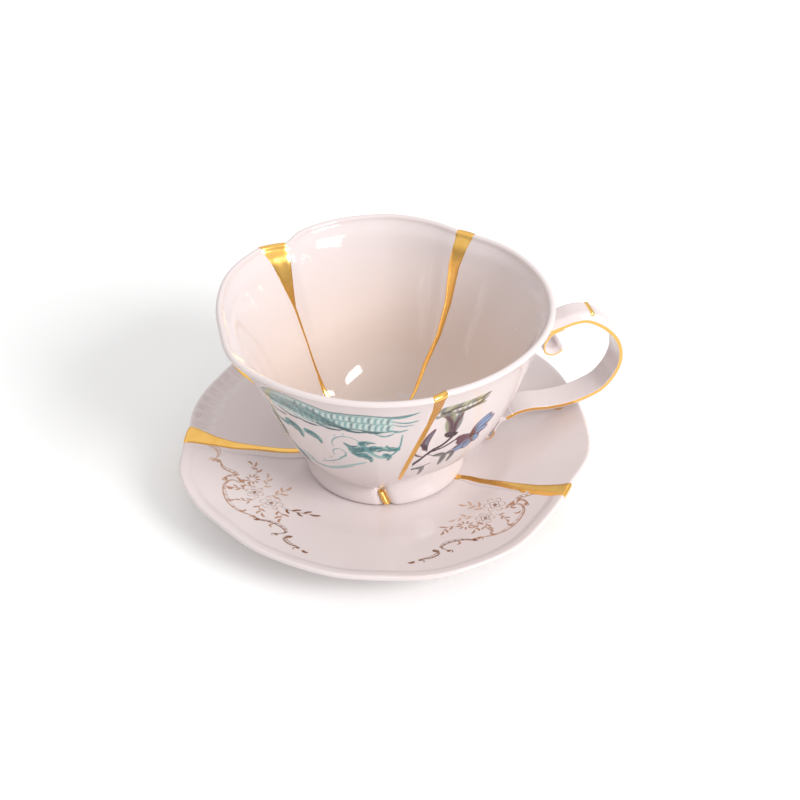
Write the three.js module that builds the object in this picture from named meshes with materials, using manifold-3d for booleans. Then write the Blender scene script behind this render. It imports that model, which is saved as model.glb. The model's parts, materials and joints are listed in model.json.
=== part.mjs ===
// A mended porcelain tea cup on its saucer, in millimetres and degrees, +Z up.
// Cup and saucer were each joined from unlike fragments, and gold fills every joint.
// Angles go counter-clockwise seen from above, and the handle points along +X, at 0.

import * as THREE from "three";
import Module from "manifold-3d";

const wasm = await Module();
wasm.setup();

// Cup
const cupHeight = 61.5;
const rimRadius = 52.5;
const wallThickness = 2.6;
const rimThickness = 2.2;
const rimRounding = 1.1;
const cupColumns = 56;
const wallRows = 8;
const wallSamples = 24;

// Foot and floor of the cup
const footRadius = 26.6;
const footWaistRadius = 25.4;
const footRingWidth = 3.4;
const footEdge = 0.7;
const footRecess = 3.2;
const floorThickness = 3.6;
const floorRadius = 19;
const floorCornerRise = 1.6;
const floorCornerReach = 0.4;
const floorCornerDrop = 0.7;
const footWaistShare = 0.7;

// Saucer
const saucerRadius = 68;
const saucerRise = 8.9;
const wellRadius = 31;
const saucerThickness = 3.1;
const saucerEdgeThickness = 2.2;
const saucerFootRadius = 38;
const saucerFootWidth = 3;
const saucerFootHeight = 3.9;
const saucerFootFillet = 0.5;
const saucerEdgeInset = 0.6;
const saucerUndersideInset = 1;
const saucerStraightness = 0.55;
const undersideCurve = 1.4;
const rimBandWidth = 5;
const rimBandRise = 0.45;
const saucerColumns = 54;
const fluteCount = 8;
const fluteLength = 9;
const fluteDepth = 0.9;
const fluteFade = 0.4;
const fluteSteps = 4;

// Handle
const strapWidth = 9.6;
const strapThickness = 3.2;
const strapEdge = 1.3;
const strapBevel = 1.7;
const curlThickness = 1.6;
const rootDepth = 1.4;
const strapRows = 34;
const curlRows = 10;

// Gold
const seamClearance = 0.3;
const seamOvercut = 3;
const footSeamTop = 5.6;
const footSeamOvercut = 1;
const saucerSeamStart = 24;
const handleSeamWidth = 1.5;
const handleSeamDepth = 1.3;
const handleSeamOvercut = 2;

// Round the axis, even columns stand clear of a fragment's end by this share of their spacing.
const columnClearance = 0.35;

// Points over the cup's rim from outside to inside, in shares of its thickness and of its rounding.
const rimPoints = [[0.3, 0.15], [0.7, 0], [1, 1]];

// Shares of the way from the foot ring to the edge, on the saucer's underside, and of the way from
// the well to the edge on its top, where its section has a point.
const undersideShares = [0.35, 0.7];
const topShares = [0.5, 0.3, 0.15, 0];

// Shares between which the saucer's top leaves the flat of the well.
const wellBlend = [-0.15, 0.35];

// Fragments of the cup's rim. Their values stand at even steps of angle along each of them, and are
// added to rimRadius. Gold bridges the gap from one fragment to the next.
const rimFragments = [
  { start: 45.8, end: 118.3, values: [-2.8, -1.3, 0, 0.9, 0.8, 0.6, 0, -1.1, -4.4] },
  { start: 127.7, end: 272.2, values: [0, 0.6, -0.4, -0.7, 1.3, 0.3, -0.2, -0.2, -0.2] },
  { start: 277.8, end: 398.6, values: [-1.8, -1.3, -0.6, 0.3, 0.9, 0.8, 0.3, -0.6, -2.3] },
];

// Fragments of the foot, each with its own height.
const footFragments = [
  { start: 54, end: 121, values: [8.5, 8.5] },
  { start: 129, end: 253, values: [7, 7] },
  { start: 264, end: 406, values: [10.3, 10.3] },
];

// Wall curve from the foot's top to the rim, as the two inner control points of a cubic, in shares
// of the rise and of the reach. The bowl is fullest near the handle and slimmest opposite it.
const slimWall = [new THREE.Vector2(0.2, 0.45), new THREE.Vector2(0.75, 0.55)];
const fullWall = [new THREE.Vector2(0.06, 0.55), new THREE.Vector2(0.72, 0.72)];
const fullestAngle = 345;

// Fragments of the saucer's edge, with their values added to saucerRadius.
const flutedFragment = { start: 129.4, end: 161.9, values: [-0.2, -0.8, -0.7, -1, -1.9] };
const bandedFragment = {
  start: 170,
  end: 316.8,
  values: [-1, 1.2, 0.9, -0.5, -0.3, -0.4, 0.1, 0, 1.2, 0.9, 0.4, -1.8, -2.8],
};
const plainFragment = {
  start: 322.9,
  end: 487.6,
  values: [-2.8, 0, 0, 0.3, 1.8, 1.8, 0.8, 0.1, 0, 0.2, 0.2, 0, -0.2],
};
const edgeFragments = [flutedFragment, bandedFragment, plainFragment];

// Seams of the cup: the height of the lower end, and along the seam from there to the rim its share
// of the way, angle and width.
const cupSeams = {
  cup_seam_left: {
    end: 10.5,
    stations: [[0, 124.6, 2.2], [0.15, 123.2, 0.8], [0.35, 123.2, 0.8], [0.6, 124.1, 0.9],
      [0.73, 123.9, 3.2], [0.86, 123.3, 5.5], [1, 123, 8]],
  },
  cup_seam_right: {
    end: 10.5,
    stations: [[0, 50, 2], [0.12, 49, 2.1], [0.32, 44.4, 1.9], [0.54, 42.6, 2.8],
      [0.78, 43, 4.4], [0.93, 42.2, 5.4], [1, 42.2, 6.2]],
  },
  cup_seam_front: {
    end: 14,
    stations: [[0, 264.3, 1.3], [0.12, 264.8, 1.6], [0.29, 267, 1.7], [0.5, 270.3, 1.9],
      [0.7, 273.3, 2.3], [0.86, 275.2, 3.2], [1, 275, 4.8]],
  },
};

// Seam through the foot ring, from the bottom up.
const footSeam = [[0, 257.6, 2.2], [1, 252.8, 1.7]];

// Seams of the saucer: share of the way from their inner end to the edge, angle and width.
const saucerSeams = {
  saucer_seam_left: [[0, 162, 2.6], [0.4, 165.2, 2.8], [0.56, 166.2, 4], [0.7, 166, 5.2],
    [0.86, 165.3, 7.4], [1, 165.8, 8.6]],
  saucer_seam_right: [[0, 317, 2.1], [0.14, 320.3, 2.4], [0.3, 320.3, 2.8], [0.5, 319.2, 3.9],
    [0.68, 318.6, 4.6], [0.84, 318.8, 5.2], [1, 319.9, 7]],
  saucer_seam_back: [[0, 133, 1.2], [0.5, 131.5, 1.4], [1, 128.6, 1.9]],
};

// Side view of the handle: x outwards from the cup's axis, z up from the foot's bottom.
const strapTop = [[52.6, 42.3], [58, 43.7], [62.5, 44.9], [66.4, 44.9], [70.3, 43.1], [74.3, 39.9]];
const strapSide = [[77.6, 35.7], [79.3, 31.3], [79.6, 26.9], [78.7, 23.3], [76.7, 19.5], [73.7, 16.2]];
const strapFoot = [[69.7, 14.2], [65.4, 12.8], [60.5, 12], [55, 11.9], [49, 12.4], [44.4, 11.8],
  [39.4, 9.9]];
const upperRootHeight = 40.6;
const lowerRootHeight = 13;
const upperCurl = [[58.6, 43.6], [55, 42], [53.1, 39.7], [52.4, 36.9], [53.3, 34.6], [55.8, 33.7],
  [57.9, 35]];
const lowerCurl = [[42.6, 11.2], [39, 9.4], [36.9, 6.7], [36.2, 4.2], [34.8, 2.8], [33.2, 3.3]];
const handleSeamPlace = 0.232;

// Small moulded leaf under the strap: its outline in the same side view.
const leafOutline = [[55, 11], [57.4, 8.7], [60.4, 7.9], [62.6, 9.4], [63.6, 11.6]];
const leafWidth = 7;

const toRadians = THREE.MathUtils.degToRad;

function radial(angle, radius, height) {
  const turn = toRadians(angle);
  return new THREE.Vector3(radius * Math.cos(turn), radius * Math.sin(turn), height);
}

// Value on a smooth curve through evenly spaced values, at a share of the way along it.
function alongEven(values, share) {
  const place = THREE.MathUtils.clamp(share, 0, 1) * (values.length - 1);
  const first = Math.min(Math.floor(place), values.length - 2);
  const before = values[Math.max(first - 1, 0)];
  const after = values[Math.min(first + 2, values.length - 1)];
  const curve = new THREE.CatmullRomCurve3(
    [before, values[first], values[first + 1], after]
      .map((value, i) => new THREE.Vector3(i, value, 0)),
    false,
    "catmullrom",
  );
  return curve.getPoint((place - first + 1) / 3).y;
}

// Angle and width of a seam at a share of the way along its stations.
function alongSeam(stations, share) {
  const next = Math.max(stations.findIndex(([at]) => at >= share), 1);
  const [from, fromAngle, fromWidth] = stations[next - 1];
  const [to, toAngle, toWidth] = stations[next];
  const mix = (share - from) / (to - from);
  return {
    angle: THREE.MathUtils.lerp(fromAngle, toAngle, mix),
    width: THREE.MathUtils.lerp(fromWidth, toWidth, mix),
  };
}

// Share of the way round a fragment, over 1 outside it.
function within(fragment, angle) {
  const turned = THREE.MathUtils.euclideanModulo(angle - fragment.start, 360);
  return turned / (fragment.end - fragment.start);
}

// Value at an angle: on the fragment that holds it, or straight from one fragment to the next.
function aroundFragments(fragments, angle) {
  const holder = fragments.find((fragment) => within(fragment, angle) <= 1);
  if (holder) return alongEven(holder.values, within(holder, angle));
  const gaps = fragments.map((fragment, i) => {
    const next = fragments[(i + 1) % fragments.length];
    const length = THREE.MathUtils.euclideanModulo(next.start - fragment.end, 360);
    return {
      start: fragment.end,
      end: fragment.end + length,
      values: [fragment.values.at(-1), next.values[0]],
    };
  });
  const gap = gaps.find((between) => within(between, angle) <= 1);
  return THREE.MathUtils.lerp(gap.values[0], gap.values[1], within(gap, angle));
}

// Even angles round the axis, and the exact ends of every fragment.
function columnAngles(count, fragments) {
  const ends = fragments.flatMap(({ start, end }) => [start, end]).map((angle) => angle % 360);
  const spacing = 360 / count;
  const even = Array.from({ length: count }, (_, i) => i * spacing);
  const clear = even.filter((angle) => (
    ends.every((end) => Math.abs(end - angle) > spacing * columnClearance)
  ));
  return [...clear, ...ends].sort((a, b) => a - b);
}

// Closed mesh through rings of points. The rings turn counter-clockwise about the way they go, and
// each end closes on a point of its own.
function loft(rings, firstPoint, lastPoint) {
  const around = rings[0].length;
  const points = [...rings.flat(), firstPoint, lastPoint];
  const faces = [];
  for (let row = 0; row < rings.length - 1; row++) {
    for (let i = 0; i < around; i++) {
      const a = row * around + i;
      const b = row * around + (i + 1) % around;
      faces.push(a, b, b + around, a, b + around, a + around);
    }
  }
  const top = (rings.length - 1) * around;
  for (let i = 0; i < around; i++) {
    const next = (i + 1) % around;
    faces.push(points.length - 2, next, i, points.length - 1, top + i, top + next);
  }
  return new wasm.Manifold(new wasm.Mesh({
    numProp: 3,
    vertProperties: new Float32Array(points.flatMap((point) => point.toArray())),
    triVerts: new Uint32Array(faces),
  }));
}

function middle(ring) {
  const sum = ring.reduce((total, point) => total.add(point), new THREE.Vector3());
  return sum.divideScalar(ring.length);
}

function loftFlatEnds(rings) {
  return loft(rings, middle(rings[0]), middle(rings.at(-1)));
}

// Body turned about the axis whose section, from the underside to the top, changes with the angle.
function turnedBody(angles, sectionAt) {
  const columns = angles.map((angle) => (
    sectionAt(angle).map(([radius, height]) => radial(angle, radius, height))
  ));
  const rings = columns[0].map((_, row) => columns.map((column) => column[row]));
  const underside = new THREE.Vector3(0, 0, rings[0][0].z);
  const top = new THREE.Vector3(0, 0, rings.at(-1)[0].z);
  return loft(rings, underside, top);
}

// Outer wall curve of the cup at an angle, from its foot to its rim.
function wallCurve(angle) {
  const foot = aroundFragments(footFragments, angle);
  const rim = rimRadius + aroundFragments(rimFragments, angle);
  const fullness = 0.5 + 0.5 * Math.cos(toRadians(angle - fullestAngle));
  const controls = slimWall.map((slim, i) => slim.clone().lerp(fullWall[i], fullness));
  const place = ({ x, y }) => new THREE.Vector2(
    THREE.MathUtils.lerp(footWaistRadius, rim, y),
    THREE.MathUtils.lerp(foot, cupHeight - rimRounding, x),
  );
  return new THREE.CubicBezierCurve(
    new THREE.Vector2(footWaistRadius, foot),
    place(controls[0]),
    place(controls[1]),
    new THREE.Vector2(rim, cupHeight - rimRounding),
  );
}

function cupSection(angle) {
  const wall = wallCurve(angle);
  const foot = wall.v0.y;
  const rim = wall.v3.x;
  const ringInside = footRadius - footRingWidth;
  const floorHeight = footRecess + floorThickness;
  const section = [
    [ringInside, footRecess],
    [ringInside, footEdge],
    [ringInside + footEdge, 0],
    [footRadius - footEdge, 0],
    [footRadius, footEdge],
    [THREE.MathUtils.lerp(footRadius, footWaistRadius, footWaistShare), foot / 2],
  ];
  for (let row = 0; row <= wallRows; row++) {
    const point = wall.getPoint(row / wallRows);
    section.push([point.x, point.y]);
  }
  for (const [across, down] of rimPoints) {
    section.push([rim - rimThickness * across, cupHeight - rimRounding * down]);
  }
  for (let row = wallRows - 1; row > 0; row--) {
    const share = row / wallRows;
    const point = wall.getPoint(share);
    const along = wall.getTangent(share);
    section.push([point.x - along.y * wallThickness, point.y + along.x * wallThickness]);
  }
  const [lastRadius, lastHeight] = section.at(-1);
  const corner = floorHeight + floorCornerRise;
  section.push([
    THREE.MathUtils.lerp(lastRadius, floorRadius, floorCornerReach),
    THREE.MathUtils.lerp(lastHeight, corner, floorCornerDrop),
  ]);
  section.push([floorRadius + wallThickness, floorHeight + floorCornerRise / 3]);
  section.push([floorRadius, floorHeight]);
  return section;
}

// A seam's gold is narrower than its cut by the clearance on each side, and it stops short of the
// cut's blind end by the same. That end is the first one, or the last.
const ofCut = { extra: seamClearance, from: 0, to: 1 };
const goldAfter = (length) => ({ extra: 0, from: seamClearance / length, to: 1 });
const goldBefore = (length) => ({ extra: 0, from: 0, to: 1 - seamClearance / length });

function seamShares(stations, { from, to }) {
  const between = stations.map(([share]) => share).filter((share) => share > from && share < to);
  return [from, ...between, to];
}

// Upright blade along a seam of the cup, that joins or cuts the wall between two heights.
function uprightBlade(stations, low, high, innerAt, outerAt, { extra, ...range }) {
  const rings = seamShares(stations, range).map((share) => {
    const { angle, width } = alongSeam(stations, share);
    const height = THREE.MathUtils.lerp(low, high, share);
    const half = width / 2 + extra;
    const out = radial(angle, 1, 0);
    const side = radial(angle + 90, 1, 0);
    const corner = (radius, offset) => out.clone().multiplyScalar(radius)
      .addScaledVector(side, offset).setZ(height);
    const inner = innerAt(angle, height);
    const outer = outerAt(angle, height);
    return [corner(inner, -half), corner(outer, -half), corner(outer, half), corner(inner, half)];
  });
  return loftFlatEnds(rings);
}

function wallRadius(angle, height) {
  const wall = wallCurve(angle);
  const points = wall.getPoints(wallSamples);
  const next = points.findIndex((point) => point.y >= height);
  if (next < 1) return next === 0 ? points[0].x : points.at(-1).x;
  const [below, above] = [points[next - 1], points[next]];
  return THREE.MathUtils.mapLinear(height, below.y, above.y, below.x, above.x);
}

// Blade along a seam of the saucer, from its inner end out past the edge.
function flatBlade(stations, start, end, { extra, ...range }) {
  const rings = seamShares(stations, range).map((share) => {
    const { angle, width } = alongSeam(stations, share);
    const radius = THREE.MathUtils.lerp(start, end, share);
    const half = width / 2 + extra;
    const side = radial(angle + 90, 1, 0);
    const corner = (offset, height) => radial(angle, radius, height).addScaledVector(side, offset);
    const top = saucerTop + seamOvercut;
    const bottom = -seamOvercut;
    return [corner(-half, bottom), corner(half, bottom), corner(half, top), corner(-half, top)];
  });
  return loftFlatEnds(rings);
}

// Saucer

const wellHeight = saucerFootHeight + saucerThickness;
const saucerTop = wellHeight + saucerRise;

function saucerEdge(angle) {
  return saucerRadius + aroundFragments(edgeFragments, angle);
}

// Height of the upper surface above the well: an easy curve, with a raised band along the edge of
// one fragment and short flutes along the edge of another.
function saucerLift(angle, radius, edge) {
  const { smoothstep, clamp } = THREE.MathUtils;
  const share = clamp((radius - wellRadius) / (edge - wellRadius), 0, 1);
  const curve = THREE.MathUtils.lerp(share * share, share, saucerStraightness);
  const rise = saucerRise * curve * smoothstep(share, ...wellBlend);
  const fromEdge = edge - radius;
  if (within(bandedFragment, angle) <= 1) {
    return rise - rimBandRise * smoothstep(fromEdge, rimBandWidth / 2, rimBandWidth);
  }
  if (within(flutedFragment, angle) <= 1) {
    const wave = 0.5 - 0.5 * Math.cos(2 * Math.PI * fluteCount * within(flutedFragment, angle));
    const atEdge = smoothstep(fromEdge, 0, fluteLength * fluteFade);
    const atWell = 1 - smoothstep(fromEdge, fluteLength * (1 - fluteFade), fluteLength);
    return rise - fluteDepth * wave * atEdge * atWell;
  }
  return rise;
}

function saucerSection(angle) {
  const edge = saucerEdge(angle);
  const footInside = saucerFootRadius - saucerFootWidth;
  const edgeHeight = wellHeight + saucerLift(angle, edge, edge);
  const under = (radius) => {
    const share = Math.max((radius - wellRadius) / (saucerRadius - wellRadius), 0);
    return wellHeight - saucerThickness + saucerRise * share ** undersideCurve;
  };
  const section = [
    [footInside, saucerFootHeight],
    [footInside, footEdge],
    [footInside + footEdge, 0],
    [saucerFootRadius - footEdge, 0],
    [saucerFootRadius, footEdge],
    [saucerFootRadius + saucerFootFillet, under(saucerFootRadius)],
  ];
  for (const share of undersideShares) {
    const radius = THREE.MathUtils.lerp(saucerFootRadius, edge, share);
    section.push([radius, under(radius)]);
  }
  section.push([edge - saucerUndersideInset, edgeHeight - saucerEdgeThickness]);
  section.push([edge, edgeHeight - saucerEdgeThickness / 2]);
  section.push([edge - saucerEdgeInset, edgeHeight]);
  const nearEdge = [rimBandWidth / 2, rimBandWidth, fluteLength * (1 - fluteFade / 2), fluteLength];
  const radii = nearEdge.map((inwards) => edge - inwards);
  for (const share of topShares) {
    radii.push(THREE.MathUtils.lerp(wellRadius, edge, share));
  }
  for (const radius of radii) {
    section.push([radius, wellHeight + saucerLift(angle, radius, edge)]);
  }
  return section;
}

function saucerAngles() {
  const steps = fluteCount * fluteSteps;
  const { start, end } = flutedFragment;
  const inside = Array.from({ length: steps - 1 }, (_, i) => (
    THREE.MathUtils.lerp(start, end, (i + 1) / steps)
  ));
  const outside = columnAngles(saucerColumns, edgeFragments)
    .filter((angle) => angle <= start || angle >= end);
  return [...outside, ...inside].sort((a, b) => a - b);
}

// Handle

// Ring of the strap's section about a point of its path: flat inside, crowned and bevelled outside,
// with a narrow edge on each side.
function strapRing(point, outwards, thickness) {
  const half = strapWidth / 2;
  const scale = thickness / strapThickness;
  const edge = (strapEdge / 2) * scale;
  const crown = (strapThickness - strapEdge / 2) * scale;
  const corners = [[-half, -edge], [half, -edge], [half, edge], [half - strapBevel, crown],
    [strapBevel - half, crown], [-half, edge]];
  return corners.map(([across, rise]) => point.clone()
    .addScaledVector(outwards, rise).setY(across));
}

function sweepStrap(sidePoints, rows, thicknessAt) {
  const path = new THREE.CatmullRomCurve3(
    sidePoints.map(([x, z]) => new THREE.Vector3(x, 0, z)), false, "centripetal");
  const rings = [];
  for (let row = 0; row <= rows; row++) {
    const share = row / rows;
    const along = path.getTangentAt(share);
    const outwards = new THREE.Vector3(-along.z, 0, along.x);
    rings.push(strapRing(path.getPointAt(share), outwards, thicknessAt(share)));
  }
  return { path, solid: loftFlatEnds(rings) };
}

function extrudedOutline(outline, width) {
  const shape = new THREE.Shape(outline.map(([x, z]) => new THREE.Vector2(x, z)));
  const geometry = new THREE.ExtrudeGeometry(shape, { depth: width, bevelEnabled: false });
  geometry.translate(0, 0, -width / 2);
  geometry.rotateX(Math.PI / 2);
  return toSolid(geometry);
}

// Solid of a closed geometry: its corners are shared first, so that the mesh has no open edge.
function toSolid(geometry) {
  const { position } = (geometry.index ? geometry.toNonIndexed() : geometry).attributes;
  const mesh = new wasm.Mesh({
    numProp: 3,
    vertProperties: new Float32Array(position.array),
    triVerts: Uint32Array.from({ length: position.count }, (_, i) => i),
  });
  mesh.merge();
  return new wasm.Manifold(mesh);
}

const rootX = (height) => wallRadius(0, height) - rootDepth;
const strapPath = [[rootX(upperRootHeight), upperRootHeight], ...strapTop, ...strapSide, ...strapFoot,
  [rootX(lowerRootHeight), lowerRootHeight]];
const strap = sweepStrap(strapPath, strapRows, () => strapThickness);
const curlTaper = (share) => (
  THREE.MathUtils.lerp(strapThickness, curlThickness, Math.min(share * 2, 1))
);
const handle = strap.solid
  .add(sweepStrap([...upperCurl].reverse(), curlRows, (share) => curlTaper(1 - share)).solid)
  .add(sweepStrap(lowerCurl, curlRows, curlTaper).solid)
  .add(extrudedOutline(leafOutline, leafWidth));

// Bar across the outer face of the strap, and the groove that it fills.
function strapBar(length, extra) {
  const place = strap.path.getPointAt(handleSeamPlace);
  const along = strap.path.getTangentAt(handleSeamPlace);
  const bottom = strapThickness - strapEdge / 2 - handleSeamDepth - extra;
  const height = handleSeamDepth + handleSeamOvercut;
  const geometry = new THREE.BoxGeometry(handleSeamWidth + 2 * extra, length, height);
  geometry.translate(0, 0, bottom + height / 2);
  geometry.rotateY(-Math.atan2(along.z, along.x));
  geometry.translate(place.x, 0, place.z);
  return toSolid(geometry);
}

// Assembly

const cupBlank = turnedBody(columnAngles(cupColumns, rimFragments), cupSection);
const saucerBlank = turnedBody(saucerAngles(), saucerSection);
const innerCut = (angle, height) => wallRadius(angle, height) - wallThickness - 2 * seamOvercut;
const outerCut = (angle, height) => wallRadius(angle, height) + seamOvercut;
const footInner = () => footRadius - footRingWidth - footSeamOvercut;
const footOuter = () => footRadius + seamOvercut;

let cup = cupBlank.add(handle);
let saucer = saucerBlank;
const gold = {};

for (const [name, { end, stations }] of Object.entries(cupSeams)) {
  const top = cupHeight + seamClearance;
  const blade = (size) => uprightBlade(stations, end, top, innerCut, outerCut, size);
  gold[name] = cupBlank.intersect(blade(goldAfter(top - end)));
  cup = cup.subtract(blade(ofCut));
}

const footBlade = (size) => (
  uprightBlade(footSeam, -seamClearance, footSeamTop, footInner, footOuter, size)
);
gold.cup_foot_seam = cupBlank.intersect(footBlade(goldBefore(footSeamTop)));
cup = cup.subtract(footBlade(ofCut));

gold.handle_seam = handle.intersect(strapBar(strapWidth - strapBevel, 0));
cup = cup.subtract(strapBar(2 * strapWidth, seamClearance));

for (const [name, stations] of Object.entries(saucerSeams)) {
  const end = saucerRadius + seamOvercut;
  const blade = (size) => flatBlade(stations, saucerSeamStart, end, size);
  gold[name] = saucerBlank.intersect(blade(goldAfter(end - saucerSeamStart)));
  saucer = saucer.subtract(blade(ofCut));
}

const porcelain = new THREE.MeshStandardMaterial({ color: 0xf4ebe8, roughness: 0.12, metalness: 0 });
const goldLeaf = new THREE.MeshStandardMaterial({ color: 0xdca040, roughness: 0.18, metalness: 1 });

function toMesh(solid, name, material) {
  const { vertProperties, triVerts } = solid.getMesh();
  const geometry = new THREE.BufferGeometry();
  geometry.setAttribute("position", new THREE.BufferAttribute(new Float32Array(vertProperties), 3));
  geometry.setIndex(new THREE.BufferAttribute(new Uint32Array(triVerts), 1));
  geometry.computeVertexNormals();
  const mesh = new THREE.Mesh(geometry, material);
  mesh.name = name;
  return mesh;
}

// The cup stands in the well of the saucer.
const cupGroup = new THREE.Group();
cupGroup.position.z = wellHeight;
cupGroup.add(toMesh(cup, "cup", porcelain));
const saucerGroup = new THREE.Group();
saucerGroup.add(toMesh(saucer, "saucer", porcelain));
for (const [name, solid] of Object.entries(gold)) {
  const group = name.startsWith("saucer") ? saucerGroup : cupGroup;
  group.add(toMesh(solid, name, goldLeaf));
}

const cupAndSaucer = new THREE.Group();
cupAndSaucer.add(saucerGroup, cupGroup);
const reach = new THREE.Box3().setFromObject(cupAndSaucer);
const centre = reach.getCenter(new THREE.Vector3());
cupAndSaucer.position.set(-centre.x, -centre.y, -reach.min.z);

export default cupAndSaucer;
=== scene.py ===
import json
import math

import bpy
import numpy as np
from mathutils import Matrix, Vector


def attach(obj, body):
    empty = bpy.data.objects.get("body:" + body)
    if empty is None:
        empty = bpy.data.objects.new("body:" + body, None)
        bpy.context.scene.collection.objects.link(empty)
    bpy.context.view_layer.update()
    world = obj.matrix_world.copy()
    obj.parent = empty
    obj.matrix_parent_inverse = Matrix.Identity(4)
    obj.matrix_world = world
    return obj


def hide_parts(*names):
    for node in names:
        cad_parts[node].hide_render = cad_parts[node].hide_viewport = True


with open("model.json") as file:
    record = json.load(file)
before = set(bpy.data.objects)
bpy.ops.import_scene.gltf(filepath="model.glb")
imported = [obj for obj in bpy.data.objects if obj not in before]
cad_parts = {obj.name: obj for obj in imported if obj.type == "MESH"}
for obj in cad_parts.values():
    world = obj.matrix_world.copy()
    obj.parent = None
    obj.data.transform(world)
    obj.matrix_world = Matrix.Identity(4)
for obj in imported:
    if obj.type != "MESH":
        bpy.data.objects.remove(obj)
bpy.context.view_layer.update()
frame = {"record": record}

# Saucer
# White porcelain, cast in one piece with the edges of three unlike saucers joined in it: a fluted
# one, one with a raised rim band and a plain wavy one. It is printed in sepia under a clear glaze.

mm = 0.001
# The axis that cup and saucer share lies this far from the mount on the saucer's foot.
foot_flat_radius = 36.5
foot_place = frame["record"]["mounts"][0]["pos_m"]
axis_x = foot_place[0] / mm
axis_y = foot_place[1] / mm - foot_flat_radius

saucer_radius = 67.75
saucer_rise = 8.9
well_radius = 31.0
well_height = 7.0
saucer_thickness = 3.1
saucer_lip = 1.1
saucer_foot_inside = 35.0
saucer_foot_outside = 38.0
saucer_foot_height = 3.9
foot_edge = 0.7
rim_band_width = 5.0
rim_band_rise = 0.45
flute_count = 8
flute_length = 9.0
flute_depth = 0.9

# Each fragment of an edge: the angles where it starts and ends, and what it adds to the radius at
# even steps between them.
fluted_edge = (129.4, 161.9, (-0.2, -0.8, -0.7, -1.0, -1.9))
banded_edge = (170.0, 316.8, (-1.0, 1.2, 0.9, -0.5, -0.3, -0.4, 0.1, 0.0, 1.2, 0.9, 0.4, -1.8, -2.8))
plain_edge = (322.9, 487.6, (-2.8, 0.0, 0.0, 0.3, 1.8, 1.8, 0.8, 0.1, 0.0, 0.2, 0.2, 0.0, -0.2))
saucer_edges = (fluted_edge, banded_edge, plain_edge)


def share_of(fragment, angle):
    """Share of the way round a fragment, over 1 outside it."""
    start, end = fragment[:2]
    return (angle - start) % 360 / (end - start)


def along_even(values, share):
    """Value on a smooth curve through evenly spaced values."""
    place = min(max(share, 0.0), 1.0) * (len(values) - 1)
    first = min(int(place), len(values) - 2)
    part = place - first
    stations = [min(max(first + step, 0), len(values) - 1) for step in (-1, 0, 1, 2)]
    before, here, there, after = (values[station] for station in stations)
    leave, arrive = (there - before) / 2, (after - here) / 2
    bend = 2 * (here - there) + leave + arrive
    lean = 3 * (there - here) - 2 * leave - arrive
    return here + part * (leave + part * (lean + part * bend))


def around(fragments, angle):
    """Value at an angle, on the fragment there, or straight from one fragment to the next."""
    for fragment in fragments:
        if share_of(fragment, angle) <= 1:
            return along_even(fragment[2], share_of(fragment, angle))
    for fragment, following in zip(fragments, fragments[1:] + fragments[:1]):
        gap = (fragment[1], fragment[1] + (following[0] - fragment[1]) % 360)
        if share_of(gap, angle) <= 1:
            return fragment[2][-1] + (following[2][0] - fragment[2][-1]) * share_of(gap, angle)


def ease(value, low, high):
    """Smooth step from 0 at low to 1 at high."""
    share = np.clip((value - low) / (high - low), 0, 1)
    return share * share * (3 - 2 * share)


def saucer_top(angle, radius, edge):
    """Height of the saucer's upper face."""
    share = np.clip((radius - well_radius) / (edge - well_radius), 0, 1)
    rise = saucer_rise * (0.55 * share + 0.45 * share**2) * ease(share, -0.15, 0.35)
    inwards = edge - radius
    if share_of(banded_edge, angle) <= 1:
        rise = rise - rim_band_rise * ease(inwards, rim_band_width / 2, rim_band_width)
    flute = share_of(fluted_edge, angle)
    if flute <= 1:
        wave = 0.5 - 0.5 * math.cos(2 * math.pi * flute_count * flute)
        reach = ease(inwards, 0, 0.4 * flute_length) * (1 - ease(inwards, 0.6 * flute_length, flute_length))
        rise = rise - flute_depth * wave * reach
    return well_height + rise


def arc(centre, radius, start, end, steps):
    """Points on an arc in a section, with its angles in degrees."""
    turn = np.radians(np.linspace(start, end, steps))
    return np.stack([centre[0] + radius * np.cos(turn), centre[1] + radius * np.sin(turn)], axis=1)


saucer_row_spacing = 0.33
# The gold of the joints begins at this radius, under the cup.
saucer_seam_start = 24.0


def saucer_section(angle):
    """Section of the saucer as two lines of radius and height: its underside from the axis out to the
    lip, and its upper side from there in to the axis.
    """
    edge = saucer_radius + around(saucer_edges, angle)
    recess = [(radius, saucer_foot_height) for radius in (0, saucer_seam_start / 2, saucer_seam_start)]
    fillet = arc((saucer_foot_inside - 1, saucer_foot_height - 1), 1, 90, 0, 5)
    ring_in = arc((saucer_foot_inside + foot_edge, foot_edge), foot_edge, 180, 270, 5)
    ring_out = arc((saucer_foot_outside - foot_edge, foot_edge), foot_edge, 270, 360, 5)
    radius = np.linspace(saucer_foot_outside + 0.9, edge - saucer_lip, 16)[:-1]
    rise = saucer_rise * np.clip((radius - well_radius) / (saucer_radius - well_radius), 0, 1) ** 1.4
    thinning = (2 * saucer_lip - saucer_thickness) * ease(edge - radius, 12, 0)
    flank_below = np.stack([radius, well_height - saucer_thickness + rise - thinning], axis=1)
    turn = np.radians(np.linspace(-90, 90, 11))
    radius = edge - saucer_lip + saucer_lip * np.cos(turn)
    height = saucer_top(angle, radius, edge) - saucer_lip + saucer_lip * np.sin(turn)
    lip = np.stack([radius, height], axis=1)
    flank_rows = round((saucer_radius - well_radius) / saucer_row_spacing)
    flank = np.linspace(edge - saucer_lip, well_radius - 2, flank_rows)[1:]
    radius = np.concatenate([flank, np.linspace(well_radius - 2, 0, 11)[1:]])
    top = np.stack([radius, saucer_top(angle, radius, edge)], axis=1)
    underside = np.concatenate([recess, fillet, ring_in, ring_out, flank_below, lip[:5]])
    return underside, np.concatenate([lip[4:], top])


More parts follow.
